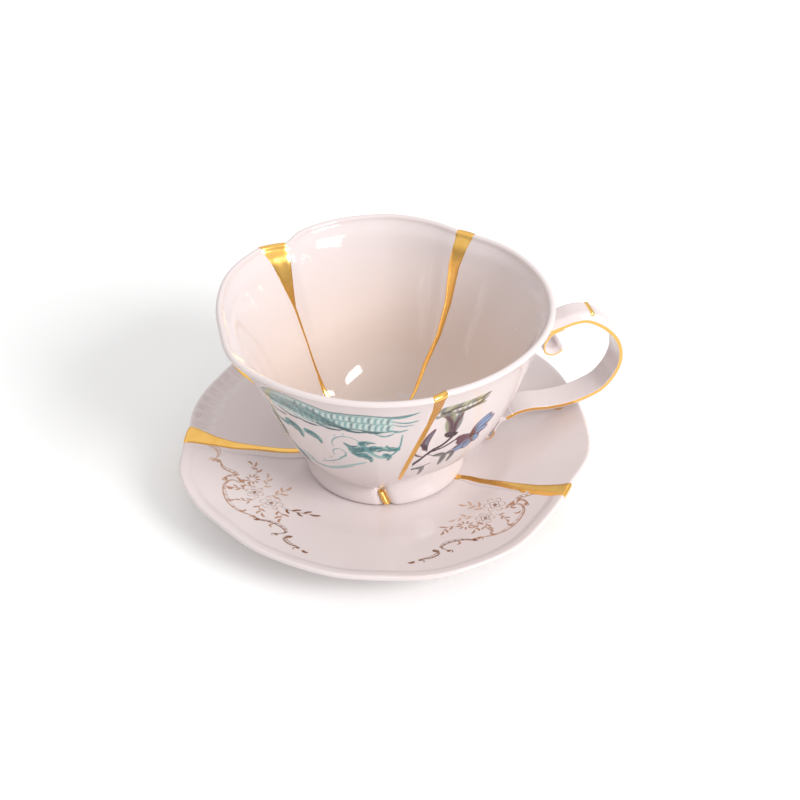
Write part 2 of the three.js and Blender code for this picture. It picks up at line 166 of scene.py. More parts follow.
def turned(angle, radius, height):
    """Points in millimetres at an angle round the axis that cup and saucer share."""
    turn = np.radians(angle)
    x = axis_x + radius * np.cos(turn)
    y = axis_y + radius * np.sin(turn)
    return np.stack(np.broadcast_arrays(x, y, height), axis=-1)


def spaced_angles(fine_zones, fine, coarse):
    """Angles once round the axis, close together in some zones."""
    angles = [0.0]
    while angles[-1] < 360:
        near = any(start <= angles[-1] <= end for start, end in fine_zones)
        angles.append(angles[-1] + (fine if near else coarse))
    return np.array(angles) * 360 / angles[-1]


def vertices_of(piece):
    """Places of a piece's vertices, in millimetres."""
    places = np.empty(len(piece.data.vertices) * 3)
    piece.data.vertices.foreach_get("co", places)
    return places.reshape(-1, 3) / mm


def skin(name, points):
    """Closed mesh through a grid of points in millimetres, whose first and last columns meet."""
    columns, rows = points.shape[:2]
    bpy.ops.object.select_all(action="DESELECT")
    bpy.ops.mesh.primitive_grid_add(x_subdivisions=columns - 1, y_subdivisions=rows - 1, size=1)
    piece = bpy.context.active_object
    piece.name = piece.data.name = name
    flat = vertices_of(piece) * mm + 0.5
    column = np.rint(flat[:, 0] * (columns - 1)).astype(int)
    row = np.rint(flat[:, 1] * (rows - 1)).astype(int)
    piece.data.vertices.foreach_set("co", (points[column, row] * mm).ravel())
    piece.data.update()
    bpy.ops.object.mode_set(mode="EDIT")
    bpy.ops.mesh.select_all(action="SELECT")
    bpy.ops.mesh.remove_doubles(threshold=0.002 * mm)
    bpy.ops.mesh.normals_make_consistent(inside=False)
    bpy.ops.object.mode_set(mode="OBJECT")
    bpy.ops.object.shade_smooth_by_angle(angle=math.radians(50))
    return piece


def body(name, angles, section_at):
    """Closed body round the axis, from its section at each angle."""
    columns = []
    for angle in angles:
        below, above = section_at(angle)
        columns.append(turned(angle, *np.concatenate([below, above[1:]]).T))
    return skin(name, np.array(columns))


# The sections are closer together in the fluted and printed parts.
saucer = body("saucer_porcelain", spaced_angles([(128, 236), (263, 321)], 0.4, 1.6), saucer_section)


def linear(hex_colour):
    """Linear colour of an sRGB hex value."""
    channels = (int(hex_colour[start:start + 2], 16) / 255 for start in (1, 3, 5))
    return (*(c / 12.92 if c <= 0.04045 else ((c + 0.055) / 1.055) ** 2.4 for c in channels), 1.0)


def add_node(tree, kind, settings=None, links=None):
    """Adds a node, sets its properties and sockets by name, with colours as hex values, and links
    sockets to other nodes' outputs.
    """
    node = tree.nodes.new(kind)
    for name, value in (settings or {}).items():
        if hasattr(node, name):
            setattr(node, name, value)
        else:
            node.inputs[name].default_value = linear(value) if isinstance(value, str) else value
    for name, output in (links or {}).items():
        tree.links.new(output, node.inputs[name])
    return node


def new_material(name):
    """New material, its nodes, its shader and the coordinates of the object."""
    material = bpy.data.materials.new(name)
    material.use_nodes = True
    tree = material.node_tree
    place = add_node(tree, "ShaderNodeTexCoord").outputs["Object"]
    return material, tree, tree.nodes["Principled BSDF"], place


porcelain_tone, thin_tone = "#ddd2d2", "#d9cdcb"


def glazed_porcelain(name):
    """Hard-paste porcelain, slip cast, printed and glazed. The glaze gives sharp highlights that
    wander a little, because it is never quite even, and the body is warm and a little uneven in tone.
    """
    material, tree, shader, place = new_material(name)
    shader.inputs["IOR"].default_value = 1.5
    # Clouds in the body, about 25 mm across, and waves of the glaze, about 12 mm long.
    clouds = add_node(
        tree, "ShaderNodeTexNoise", {"Scale": 1 / (25 * mm), "Detail": 2.0}, {"Vector": place}
    ).outputs["Fac"]
    waves = add_node(
        tree, "ShaderNodeTexNoise", {"Scale": 1 / (12 * mm), "Detail": 1.0}, {"Vector": place}
    ).outputs["Fac"]
    tone = add_node(
        tree, "ShaderNodeMix", {"data_type": "RGBA", "A": porcelain_tone, "B": thin_tone}, {"Factor": clouds}
    )
    ink = add_node(tree, "ShaderNodeAttribute", {"attribute_name": "ink"})
    ink_edge = add_node(
        tree, "ShaderNodeMapRange", {"From Min": 0.2, "From Max": 0.8}, {"Value": ink.outputs["Alpha"]}
    )
    printed = add_node(
        tree, "ShaderNodeMix", {"data_type": "RGBA"},
        {"Factor": ink_edge.outputs["Result"], "A": tone.outputs["Result"], "B": ink.outputs["Color"]},
    )
    polish = add_node(tree, "ShaderNodeMapRange", {"To Min": 0.05, "To Max": 0.1}, {"Value": clouds})
    relief = add_node(tree, "ShaderNodeBump", {"Strength": 0.6, "Distance": 0.06 * mm}, {"Height": waves})
    tree.links.new(printed.outputs["Result"], shader.inputs["Base Color"])
    tree.links.new(polish.outputs["Result"], shader.inputs["Roughness"])
    tree.links.new(relief.outputs["Normal"], shader.inputs["Normal"])
    return material


def blank_ink(piece):
    """Colour attribute for the prints, empty at first."""
    ink = piece.data.color_attributes.new("ink", "FLOAT_COLOR", "POINT")
    ink.data.foreach_set("color", np.tile((*linear(porcelain_tone)[:3], 0.0), len(piece.data.vertices)))


saucer.data.materials.append(glazed_porcelain("glazed porcelain, saucer"))
blank_ink(saucer)


def measured(line):
    """Length along a line of points, from its first."""
    return np.concatenate([[0], np.cumsum(np.linalg.norm(np.diff(line, axis=0), axis=1))])


def resampled(line, lengths):
    """Points at given lengths along a line."""
    at = measured(line)
    return np.stack([np.interp(lengths, at, line[:, 0]), np.interp(lengths, at, line[:, 1])], axis=1)


def smooth_path(points, count):
    """Evenly spaced points on a smooth curve through the given ones."""
    points = np.array(points, float)
    points = np.concatenate([[2 * points[0] - points[1]], points, [2 * points[-1] - points[-2]]])
    line = []
    for p0, p1, p2, p3 in zip(points, points[1:], points[2:], points[3:]):
        d0, d1, d2 = (max(np.linalg.norm(b - a) ** 0.5, 1e-4) for a, b in ((p0, p1), (p1, p2), (p2, p3)))
        leave = ((p1 - p0) / d0 - (p2 - p0) / (d0 + d1) + (p2 - p1) / d1) * d1
        arrive = ((p2 - p1) / d1 - (p3 - p1) / (d1 + d2) + (p3 - p2) / d2) * d1
        t = np.linspace(0, 1, 24, endpoint=False)[:, None]
        line.append((2 * t**3 - 3 * t**2 + 1) * p1 + (t**3 - 2 * t**2 + t) * leave
                    + (3 * t**2 - 2 * t**3) * p2 + (t**3 - t**2) * arrive)
    line = np.concatenate(line + [points[-2:-1]])
    return resampled(line, np.linspace(0, measured(line)[-1], count))


# Transfer print of the saucer: a sepia scroll along the rim with a small bouquet inside it, once on
# each side and turned over for the second.
ink_blur = 0.45


def mark(place, points, width, colour, strength=1.0, taper=0.0, steps=14):
    """Stroke of ink through points of a drawing. Its ends may run out thin."""
    points = np.array(points, float)
    if len(points) > 2:
        points = smooth_path(points, steps)
    share = measured(points) / max(measured(points)[-1], 1e-6)
    body = 1 - taper * (1 - np.sqrt(np.clip(np.sin(np.pi * share), 0, 1)))
    return np.array([place(x, y) for x, y in points]), width / 2 * body, linear(colour)[:3], strength


def leaf_mark(place, base, tip, width, colour, bend=0.15, strength=1.0):
    """Pointed leaf or petal between two points of a drawing, curved to its left."""
    base, tip = np.array(base, float), np.array(tip, float)
    middle = (base + tip) / 2 + bend * np.array([base[1] - tip[1], tip[0] - base[0]])
    return mark(place, [base, middle, tip], width, colour, strength, taper=1.0, steps=9)


def curl_mark(place, centre, radius, start, turns, width, colour, strength=1.0):
    """Spiral that winds in to its centre from an angle in degrees."""
    share = np.linspace(0, 1, 22)
    turn = np.radians(start) + 2 * np.pi * turns * share
    reach = radius * (1 - 0.8 * share)
    points = np.stack([centre[0] + reach * np.cos(turn), centre[1] + reach * np.sin(turn)], axis=1)
    return mark(place, points, width, colour, strength, taper=0.4, steps=22)


def leaf_marks(place, strength, leaves):
    """Leaves or petals, each with its base, tip, width, colour and bend."""
    return [leaf_mark(place, *leaf, strength) for leaf in leaves]


def stroke_marks(place, strength, taper, steps, strokes):
    """Strokes, each with its points, width and colour."""
    return [mark(place, *stroke, strength, taper, steps) for stroke in strokes]


def paint(piece, marks, lets_through):
    """Lays the strokes one over another on the vertices that a test lets through."""
    places = vertices_of(piece)
    colours = np.empty(len(places) * 4)
    ink = piece.data.color_attributes["ink"]
    ink.data.foreach_get("color", colours)
    colours = colours.reshape(-1, 4)
    open_to_ink = np.flatnonzero(lets_through(places))
    ground = places[open_to_ink]
    for line, halves, colour, strength in marks:
        reach = halves.max() + 2 * ink_blur
        near = np.all((ground > line.min(axis=0) - reach) & (ground < line.max(axis=0) + reach), axis=1)
        spots = ground[near]
        edge = np.full(len(spots), -9.0)
        for a, b, half_a, half_b in zip(line, line[1:], halves, halves[1:]):
            span = b - a
            part = np.clip((spots - a) @ span / max(span @ span, 1e-9), 0, 1)
            away = np.linalg.norm(spots - a - part[:, None] * span, axis=1)
            edge = np.maximum(edge, half_a + (half_b - half_a) * part - away)
        cover = np.clip(edge / ink_blur + 0.5, 0, 1) * strength
        tint = np.maximum(cover, np.clip(edge / ink_blur + 2, 0, 1) * (colours[open_to_ink[near], 3] < 0.05))
        rows = open_to_ink[near]
        colours[rows, :3] += (np.array(colour) - colours[rows, :3]) * tint[:, None]
        colours[rows, 3] += (1 - colours[rows, 3]) * cover
    ink.data.foreach_set("color", colours.ravel())


def on_saucer(middle_angle, flip):
    """Place on the saucer of a drawing's x along the rim and y outwards, from its middle."""
    print_radius = 52.0

    def place(x, y):
        radius = print_radius + y
        angle = middle_angle + flip * math.degrees(x / radius)
        edge = saucer_radius + around(saucer_edges, angle)
        return turned(angle, radius, saucer_top(angle, radius, edge))
    return place


sepia, pale_sepia, dark_sepia = "#a8795a", "#c4a08a", "#7d5234"


def rose_marks(place, x, y, size):
    """Open rose: two rings of round petals about a small dark heart."""
    marks = []
    for petals, reach, curl, colour in ((6, 0.78, 0.44, sepia), (4, 0.36, 0.34, dark_sepia)):
        for petal in range(petals):
            turn = 360 / petals * petal + 20
            way = math.radians(turn)
            at = (x + reach * size * math.cos(way), y + reach * size * math.sin(way))
            marks.append(curl_mark(place, at, curl * size, turn - 120, 0.62, 0.34, colour, 0.85))
    marks.append(curl_mark(place, (x, y), 0.2 * size, 0, 1.4, 0.45, dark_sepia))
    return marks


def daisy_marks(place, x, y, size):
    """Daisy of narrow petals about an open middle."""
    marks = []
    for petal in range(9):
        turn = math.radians(40 * petal + 10)
        inner = (x + 0.35 * size * math.cos(turn), y + 0.35 * size * math.sin(turn))
        outer = (x + size * math.cos(turn), y + size * math.sin(turn))
        marks.append(leaf_mark(place, inner, outer, 0.62, sepia, 0.0))
    return marks


def twig_marks(place, points, leaves, size, colour):
    """Curved stem with pairs of small leaves along it and one at its tip."""
    marks = [mark(place, points, 0.3, colour, 0.9, taper=0.3)]
    line = smooth_path(points, leaves + 2)
    for before, here, after, side in zip(line, line[1:], line[2:], (1, -1) * leaves):
        way = (after - before) / np.linalg.norm(after - before)
        out = way + side * np.array([-way[1], way[0]])
        marks.append(leaf_mark(place, here, here + out * size * 0.7, 0.3 * size, colour, 0.1 * side))
    way = (line[-1] - line[-2]) / np.linalg.norm(line[-1] - line[-2])
    marks.append(leaf_mark(place, line[-1], line[-1] + way * size, 0.34 * size, colour))
    return marks


def scroll_marks(place, points, colour, start_curl, end_curl):
    """Rocaille scroll: two fine lines side by side with ticks between them and a curl at each end."""
    marks = [mark(place, points, 0.5, colour, 0.95, taper=0.3, steps=24)]
    line = smooth_path(points, 24)
    across = np.gradient(line, axis=0)
    across = np.stack([across[:, 1], -across[:, 0]], axis=1)
    across /= np.linalg.norm(across, axis=1, keepdims=True)
    second = line + across * 1.0 * np.sin(np.linspace(0, np.pi, 24))[:, None]
    marks.append(mark(place, second[1:-1:2], 0.32, colour, 0.85, taper=0.4, steps=20))
    for here, beside in zip(line[3:-3:3], second[4:-2:3]):
        marks.append(leaf_mark(place, here, beside, 0.4, colour, 0.2, 0.8))
    for (x, y), turns in ((points[0], start_curl), (points[-1], end_curl)):
        if turns:
            marks.append(curl_mark(place, (x, y + math.copysign(0.9, turns)), 1.1, 90, turns, 0.42, colour))
            marks.append(leaf_mark(place, (x - 0.3, y + turns), (x + 0.5, y + turns), 0.7, colour, 0.0))
    return marks


def bouquet_marks(place, flip):
    """Two roses and a daisy among leafy twigs."""
    flowers = daisy_marks(place, -8.2 * flip, -6.0, 2.7) + rose_marks(place, -1.6 * flip, -4.4, 2.8)
    flowers += rose_marks(place, 5.4 * flip, -6.6, 3.4)
    twigs = (
        (((-9.8, -7.6), (-12.8, -8.6), (-15.4, -7.2)), 3, 2.4, sepia),
        (((1.5, -7.4), (1.8, -11.0), (0.4, -14.4)), 4, 2.8, pale_sepia),
        (((8.6, -8.2), (12.0, -9.8), (15.4, -12.6)), 4, 3.0, dark_sepia),
        (((9.0, -6.0), (12.2, -5.6), (14.6, -3.6)), 3, 2.6, sepia),
        (((-3.4, -2.2), (-5.2, -0.4), (-5.6, 1.2)), 3, 2.2, sepia),
        (((5.0, -3.2), (6.8, -1.4), (9.8, -0.6)), 3, 2.4, sepia),
        (((-4.4, -5.6), (-5.8, -3.2), (-8.6, -1.8)), 3, 2.2, sepia),
        (((-2.6, -7.2), (-4.6, -10.0), (-7.6, -11.0)), 3, 2.4, pale_sepia),
        (((1.6, -3.0), (2.2, -0.6), (1.2, 1.8)), 3, 2.0, sepia),
    )
    for points, leaves, size, colour in twigs:
        flowers += twig_marks(place, [(x * flip, y) for x, y in points], leaves, size, colour)
    return flowers


def polar(places):
    """Angles in degrees and radii of places round the axis."""
    x, y = places[:, 0] - axis_x, places[:, 1] - axis_y
    return np.degrees(np.arctan2(y, x)) % 360, np.hypot(x, y)


def clear_of_gold(stroke):
    """Whether a stroke keeps off the gold of the joints beside the prints."""
    angle, _ = polar(stroke[0])
    return angle.min() > 170.8 and angle.max() < 313.4


def saucer_print(middle_angle, flip):
    """Scrolls and bouquet about an angle, turned over where flip is -1."""
    place = on_saucer(middle_angle, flip)
    marks = []
    for scroll in (
        (((-32, 7), (-29.5, 4.2), (-27, 3.6), (-25.2, 4.6)), pale_sepia, 0, 0.9),
        (((-24, 3.0), (-20.5, 2.6), (-17.2, 0.0), (-15.8, -1.6), (-16.0, 1.5), (-15.0, 3.6)),
         sepia, 0.9, -0.8),
        (((-12.4, -0.8), (-13.8, 0.8), (-12.6, 3.6), (-8.0, 5.6), (-1.5, 6.2), (3.8, 4.6), (7.0, 2.2)),
         sepia, -1.0, 0.9),
        (((8.2, 3.6), (11.0, 0.6), (15.0, -0.4), (18.6, 1.0), (18.4, 3.2)), dark_sepia, -0.9, 0.9),
        (((21.6, 1.2), (21.4, 3.8), (25.0, 5.6), (29.0, 5.4)), dark_sepia, 1.0, 0.6),
    ):
        marks += scroll_marks(place, *scroll)
    marks += leaf_marks(place, 1.0, (
        ((31.0, 6.2), (33.4, 6.8), 1.2, dark_sepia, 0.15), ((-11.4, 3.0), (-9.0, 1.6), 0.7, sepia, 0.3),
        ((-5.0, 5.6), (-3.8, 3.4), 0.7, sepia, 0.3), ((2.4, 4.8), (2.2, 2.6), 0.7, sepia, 0.3),
        ((12.5, 0.2), (14.4, 2.0), 0.7, sepia, 0.3),
    ))
    # The bouquets of the two prints look the same way.
    shifted = on_saucer(middle_angle - flip * 4.2, flip)
    return marks + [stroke for stroke in bouquet_marks(shifted, flip) if clear_of_gold(stroke)]


def on_banded_top(places):
    """Picks the vertices of the banded fragment's upper side."""
    angle, radius = polar(places)
    return (angle > 165) & (angle < 319.5) & (radius > 33) & (places[:, 2] > well_height - 0.5)


paint(saucer, saucer_print(200.0, 1) + saucer_print(295.3, -1), on_banded_top)
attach(saucer, "root")
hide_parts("saucer")

# Gold seams of the saucer
# Each joint between two fragments is filled and gilded: burnished gold lustre, slightly proud of
# the glaze, with soft shoulders.

gold_rise = 0.22
gold_sink = 0.1
gold_columns = 12
seam_rows = 90


def polished_gold(name):
    """Burnished gold lustre over a filled joint. It was laid by hand, so its face is a little wavy
    and the reflections in it wander.
    """
    material, tree, shader, place = new_material(name)
    shader.inputs["Metallic"].default_value = 1.0
    # Brush marks and pools of the lustre, about 4 mm across.
    pools = add_node(
        tree, "ShaderNodeTexNoise", {"Scale": 1 / (4 * mm), "Detail": 2.0}, {"Vector": place}
    ).outputs["Fac"]
    tone = add_node(
        tree, "ShaderNodeMix", {"data_type": "RGBA", "A": "#fdd07a", "B": "#f2b75a"}, {"Factor": pools}
    )
    polish = add_node(tree, "ShaderNodeMapRange", {"To Min": 0.1, "To Max": 0.22}, {"Value": pools})
    relief = add_node(tree, "ShaderNodeBump", {"Strength": 0.5, "Distance": 0.12 * mm}, {"Height": pools})
    tree.links.new(tone.outputs["Result"], shader.inputs["Base Color"])
    tree.links.new(polish.outputs["Result"], shader.inputs["Roughness"])
    tree.links.new(relief.outputs["Normal"], shader.inputs["Normal"])
    return material


gold = polished_gold("burnished gold lustre")

# Stations along each seam: share of the way from its inner end to the edge, angle and width.
saucer_seams = {
    "saucer_seam_left": (
        (0, 162, 2.6), (0.4, 165.2, 2.8), (0.56, 166.2, 4), (0.7, 166, 5.2), (0.86, 165.6, 8.6),
        (1, 166.6, 11.2),
    ),
    "saucer_seam_right": (
        (0, 317, 2.1), (0.14, 320.3, 2.4), (0.3, 320.3, 2.8), (0.5, 319.2, 3.9), (0.68, 318.6, 5.0),
        (0.84, 318.8, 6.6), (1, 319.9, 9),
    ),
    "saucer_seam_back": ((0, 133, 1.3), (0.5, 131.5, 1.7), (1, 128.6, 2.4)),
}


def proud(across):
    """Height of the gold over the glaze, at -1 to 1 across a seam."""
    return (gold_rise + gold_sink) * (1 - np.abs(across) ** 3) ** 0.5 - gold_sink


def lifted(line, lift):
    """Points of a section's line, moved out along its normal. The line has the body on its left."""
    along = np.gradient(line, axis=0)
    along /= np.maximum(np.linalg.norm(along, axis=1, keepdims=True), 1e-9)
    return line + np.stack([along[:, 1], -along[:, 0]], axis=1) * lift


def gold_seam(name, rows, place_at):
    """Gold of one joint, from its place at each row along it, across one face and back across the other."""
    columns = []
    for side in (1, -1):
        for x in np.linspace(-side, side, gold_columns + 1):
            columns.append([place_at(side, x, row) for row in rows])
    piece = skin(name + "_gold", np.array(columns + columns[:1]))
    piece.data.materials.append(gold)
    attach(piece, "root")
    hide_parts(name)


def saucer_seam(name, stations):
    """Gold through the saucer along one joint, from its inner end out over the edge."""
    shares, middles, widths = np.array(stations, float).T
    length = saucer_radius - saucer_seam_start

    def place_at(side, x, row):
        # The last station lies a little beyond the edge.
        share = row * length / (length + 3)
        half_width = np.interp(share, shares, widths) / 2 * math.sqrt(min(row * 25, 1))
        radius = saucer_seam_start + row * length
        angle = np.interp(share, shares, middles) + math.degrees(x * half_width / radius)
        underside, top = saucer_section(angle)
        if side > 0:
            face = lifted(top[::-1], -proud(x))
            start = np.interp(saucer_seam_start, face[:, 0], measured(face))
        else:
            # The third point of the underside lies where the seam starts.
            face, start = lifted(underside, proud(x))[2:], 0.0
        radius, height = resampled(face, [start + row * (measured(face)[-1] - start)])[0]
        return turned(angle, radius, max(height, 0.0))

    gold_seam(name, np.linspace(0, 1, seam_rows) ** 0.8, place_at)


for seam_name, seam_stations in saucer_seams.items():
    saucer_seam(seam_name, seam_stations)

# Cup
# White porcelain, cast in one piece from fragments of unlike cups, each with its own rim line and
# foot height. The wall is thin, and the clear glaze runs over the rim.

cup_height = 61.27
rim_radius = 52.5
rim_thickness = 2.2
rim_rounding = 1.1
wall_thickness = 2.6
foot_radius = 26.6
foot_waist_radius = 25.4
foot_ring_inside = 23.2
foot_recess = 3.2
floor_height = 6.8
floor_radius = 14.0
wall_rows = 125
inner_rows = 40
floor_turn = 6.0
# The joint of the foot leans, from one angle at the bottom to another at the top of its gold bead. The
# foot is rounded off on both sides of it, by this depth over this half width.
joint_angles = (257.6, 252.8)
bead_height = 5.6
joint_depth = 1.5
joint_half_width = 1.9
# The rows of the wall in the outside's line, with half of the rim.
wall_part = slice(-(wall_rows + 6), None)
rim_fragments = (
    (45.8, 118.3, (-2.8, -1.3, 0, 0.9, 0.8, 0.6, 0, -1.1, -4.4)),
    (127.7, 272.2, (0, 0.6, -0.4, -0.7, 1.3, 0.3, -0.2, -0.2, -0.2)),
    (277.8, 398.6, (-1.8, -1.3, -0.6, 0.3, 0.9, 0.8, 0.3, -0.6, -2.3)),
)
foot_fragments = ((54, 121, (8.5, 8.5)), (129, 253, (7.0, 7.0)), (264, 406, (10.3, 10.3)))


def bezier(corners, share):
    """Points and directions on a cubic curve between two ends."""
    a, b, c, d = (np.array(corner, float) for corner in corners)
    t = np.asarray(share, float)[:, None]
    point = (1 - t) ** 3 * a + 3 * (1 - t) ** 2 * t * b + 3 * (1 - t) * t**2 * c + t**3 * d
    way = (1 - t) ** 2 * (b - a) + 2 * (1 - t) * t * (c - b) + t**2 * (d - c)
    return point, way / np.linalg.norm(way, axis=1, keepdims=True)


def joint_angle(share):
    """Angle of the foot's joint, at 0 to 1 of the bead's height."""
    return joint_angles[0] + (joint_angles[1] - joint_angles[0]) * share


def cup_section(angle):
    """Section of the cup as two lines: its outside from the axis below up to the middle of the rim,
    and its inside from there down to the axis.
    """
    foot = around(foot_fragments, angle)
    rim = rim_radius + around(rim_fragments, angle)
    shoulder = cup_height - rim_rounding
    fullness = 0.5 + 0.5 * math.cos(math.radians(angle - 345))
    rise, reach = shoulder - foot, rim - foot_waist_radius
    waist = (foot_waist_radius, foot)
    low = (foot_waist_radius + reach * (0.45 + 0.1 * fullness), foot + rise * (0.2 - 0.14 * fullness))
    high = (foot_waist_radius + reach * (0.55 + 0.17 * fullness), foot + rise * (0.75 - 0.03 * fullness))
    wall = (waist, low, high, (rim, shoulder))
    recess = [(0, foot_recess), (8, foot_recess), (16, foot_recess)]
    fillet = arc((foot_ring_inside - 1, foot_recess - 1), 1, 90, 0, 4)
    ring_in = arc((foot_ring_inside + foot_edge, foot_edge), foot_edge, 180, 270, 4)
    ring_out = arc((foot_radius - foot_edge, foot_edge), foot_edge, 270, 360, 5)
    side = ((foot_radius, foot_edge), (foot_radius, foot * 0.5), (foot_waist_radius + 0.3, foot * 0.7), waist)
    foot_side, _ = bezier(side, np.linspace(0, 0.8, 9)[1:])
    outer, _ = bezier(wall, np.linspace(0.05, 1, wall_rows))
    crease, _ = bezier((foot_side[-1], waist, waist, outer[0]), np.linspace(0, 1, 10)[1:-1])
    foot_face = np.concatenate([ring_out, foot_side, crease])
    beside = np.radians(angle - joint_angle(foot_face[:, 1] / bead_height)) * foot_radius / joint_half_width
    foot_face[:, 0] -= joint_depth * np.exp(-beside**2) * ease(foot_face[:, 1], foot + 1, foot - 1.5)
    turn = np.radians(np.linspace(0, 180, 13))
    radius = rim - rim_thickness / 2 + rim_thickness / 2 * np.cos(turn)
    rim_line = np.stack([radius, shoulder + rim_rounding * np.sin(turn)], axis=1)
    share = np.linspace(1, 0.14, inner_rows)
    face, way = bezier(wall, share)
    # The wall's thickness is measured level at the rim, and square to the wall below it.
    square = ease(1 - share, 0, 0.12)[:, None]
    inwards = np.stack([-way[:, 1], way[:, 0]], axis=1) * square + np.array([[-1.0, 0.0]]) * (1 - square)
    inner = face + inwards * (rim_thickness + (wall_thickness - rim_thickness) * square)
    corner, _ = bezier((
        inner[-1], inner[-1] - way[-1] * floor_turn,
        (floor_radius + floor_turn, floor_height), (floor_radius, floor_height),
    ), np.linspace(0, 1, 12)[1:])
    floor = [(radius, floor_height) for radius in (10, 6, 3, 0)]
    outside = np.concatenate([recess, fillet, ring_in, foot_face, outer, rim_line[1:7]])
    inside = np.concatenate([rim_line[6:-1], inner, corner, floor])
    return outside + [0, well_height], inside + [0, well_height]


cup = body("cup_porcelain", spaced_angles([(190, 312)], 0.5, 1.8), cup_section)

# Handle: a pressed strap with a bevelled back, flat inside, with a scroll at each end.
strap_width = 9.6
strap_thickness = 3.2
strap_edge = 1.3
strap_bevel = 1.7
curl_thickness = 1.6
gilt_border = 0.15
root_depth = 1.4
upper_root_height = 40.6
lower_root_height = 13.0
strap_top = [(52.6, 42.3), (58, 43.7), (62.5, 44.9), (66.4, 44.9), (70.3, 43.1), (74.3, 39.9)]
strap_side = [(77.6, 35.7), (79.26, 31.3), (79.56, 26.9), (78.7, 23.3), (76.7, 19.5), (73.7, 16.2)]
strap_foot = [(69.7, 14.2), (65.4, 12.8), (60.5, 12), (55, 11.9), (49, 12.4), (44.4, 11.8), (39.4, 9.9)]
upper_curl = [
    (58.6, 43.6), (55, 42), (53.1, 39.7), (52.4, 36.9), (53.3, 34.6), (55.8, 33.7), (58.2, 34.8),
    (58.9, 36.4),
]
lower_curl = [(42.6, 11.2), (39, 9.4), (36.9, 6.7), (36.2, 4.2), (34.8, 2.8), (33.2, 3.3)]
leaf_outline = [(55, 11), (57.4, 8.7), (60.4, 7.9), (62.6, 9.4), (63.6, 11.6)]
leaf_width = 7.0


def outer_radius(angle, height):
    """Radius of the cup's outside at a height over its foot."""
    wall = cup_section(angle)[0][wall_part]
    return np.interp(height + well_height, wall[:, 1], wall[:, 0])


def by_handle(side, across):
    """Places of a line drawn in the handle's upright plane, at distances across it."""
    return np.stack([axis_x + side[:, 0], axis_y + across, well_height + side[:, 1]], axis=1)


def strap_section(thickness):
    """Rounded section of the strap, across and out from its path."""
    half, scale = strap_width / 2, thickness / strap_thickness
    edge, crown = strap_edge / 2 * scale, (strap_thickness - strap_edge / 2) * scale
    corners = np.array([(-half, -edge), (half, -edge), (half, edge), (half - strap_bevel, crown),
                        (strap_bevel - half, crown), (-half, edge)])
    cut = (0.35, 0.35, 0.3, 0.8, 0.8, 0.3)
    points = []
    for i, corner in enumerate(corners):
        back, ahead = corners[i - 1] - corner, corners[(i + 1) % 6] - corner
        back, ahead = back / np.linalg.norm(back) * scale, ahead / np.linalg.norm(ahead) * scale
        start, end = corner + back * cut[i], corner + ahead * cut[i]
        points.append(start + back * gilt_border)
        for t in np.linspace(0, 1, 5):
            points.append((1 - t) ** 2 * start + 2 * (1 - t) * t * corner + t * t * end)
        points.append(end + ahead * gilt_border)
    points.append(points[0])
    return np.array(points)


def swept_strap(name, side_points, count, thickness_at, close_end):
    """Strap along a path in the handle's upright plane. Its ends close on points."""
    path = smooth_path(side_points, count)
    along = np.gradient(path, axis=0)
    along /= np.linalg.norm(along, axis=1, keepdims=True)
    length = measured(path)
    rings = []
    for place, way, at in zip(path, along, length):
        section = strap_section(thickness_at(at / length[-1])).copy()
        outwards = np.array([-way[1], way[0]])
        left = length[-1] - at
        if close_end and left < 1.0:
            section *= math.sqrt(max(1 - (1 - left) ** 2, 0.0))
        rings.append(by_handle(place + outwards * section[:, 1:], section[:, 0]))
    rings = [np.tile(rings[0].mean(axis=0), (len(rings[0]), 1))] + rings
    rings.append(np.tile(rings[-1].mean(axis=0), (len(rings[0]), 1)))
    return skin(name, np.array(rings).transpose(1, 0, 2))


roots = [(outer_radius(0, height) - root_depth, height) for height in (upper_root_height, lower_root_height)]
strap_path = [roots[0], *strap_top, *strap_side, *strap_foot, roots[1]]


def curl_taper(share):
    """Thickness of a scroll, which thins over the first half of its length."""
    return strap_thickness + (curl_thickness - strap_thickness) * min(share * 2, 1)


strap = swept_strap("strap", strap_path, 170, lambda share: strap_thickness, False)
curl_above = swept_strap("curl_above", upper_curl, 50, curl_taper, True)
curl_below = swept_strap("curl_below", lower_curl, 40, curl_taper, True)

# The leaf's outline closes through one more point, inside the strap.
leaf = smooth_path(leaf_outline + [(59.5, 12.6)] + leaf_outline[:1], 24)
leaf_middle = leaf.mean(axis=0)
leaf_rings = []
for across in np.linspace(-1, 1, 11):
    side = leaf_middle + (leaf - leaf_middle) * (1 - abs(across) ** 4) ** 0.5
    leaf_rings.append(by_handle(side, np.full(len(leaf), across * leaf_width / 2)))
leaf = skin("leaf", np.array(leaf_rings).transpose(1, 0, 2))
for part in (strap, curl_above, curl_below, leaf):
    joint = cup.modifiers.new("join", "BOOLEAN")
    joint.operation = "UNION"
    joint.solver = "MANIFOLD"
    joint.object = part
    bpy.ops.object.select_all(action="DESELECT")
    bpy.context.view_layer.objects.active = cup
    bpy.ops.object.modifier_apply(modifier=joint.name)
    bpy.data.objects.remove(part)

# Transfer prints of the cup: a teal basket-work band with feathers and scrolls on one fragment, and
# a garden sprig on the next. They are drawn in degrees round the cup and millimetres over its foot.
print_angles = np.arange(180.0, 321.0)
print_heights = np.arange(8.0, 60.0)
print_walls = np.array([outer_radius(angle, print_heights) for angle in print_angles])


def on_cup(angle, height):
    """Place on the cup's printed side."""
    column = min(max(angle - print_angles[0], 0.0), len(print_angles) - 1.001)
    before = int(column)
    wall = print_walls[before] + (print_walls[before + 1] - print_walls[before]) * (column - before)
    return turned(angle, np.interp(height, print_heights, wall), height + well_height)


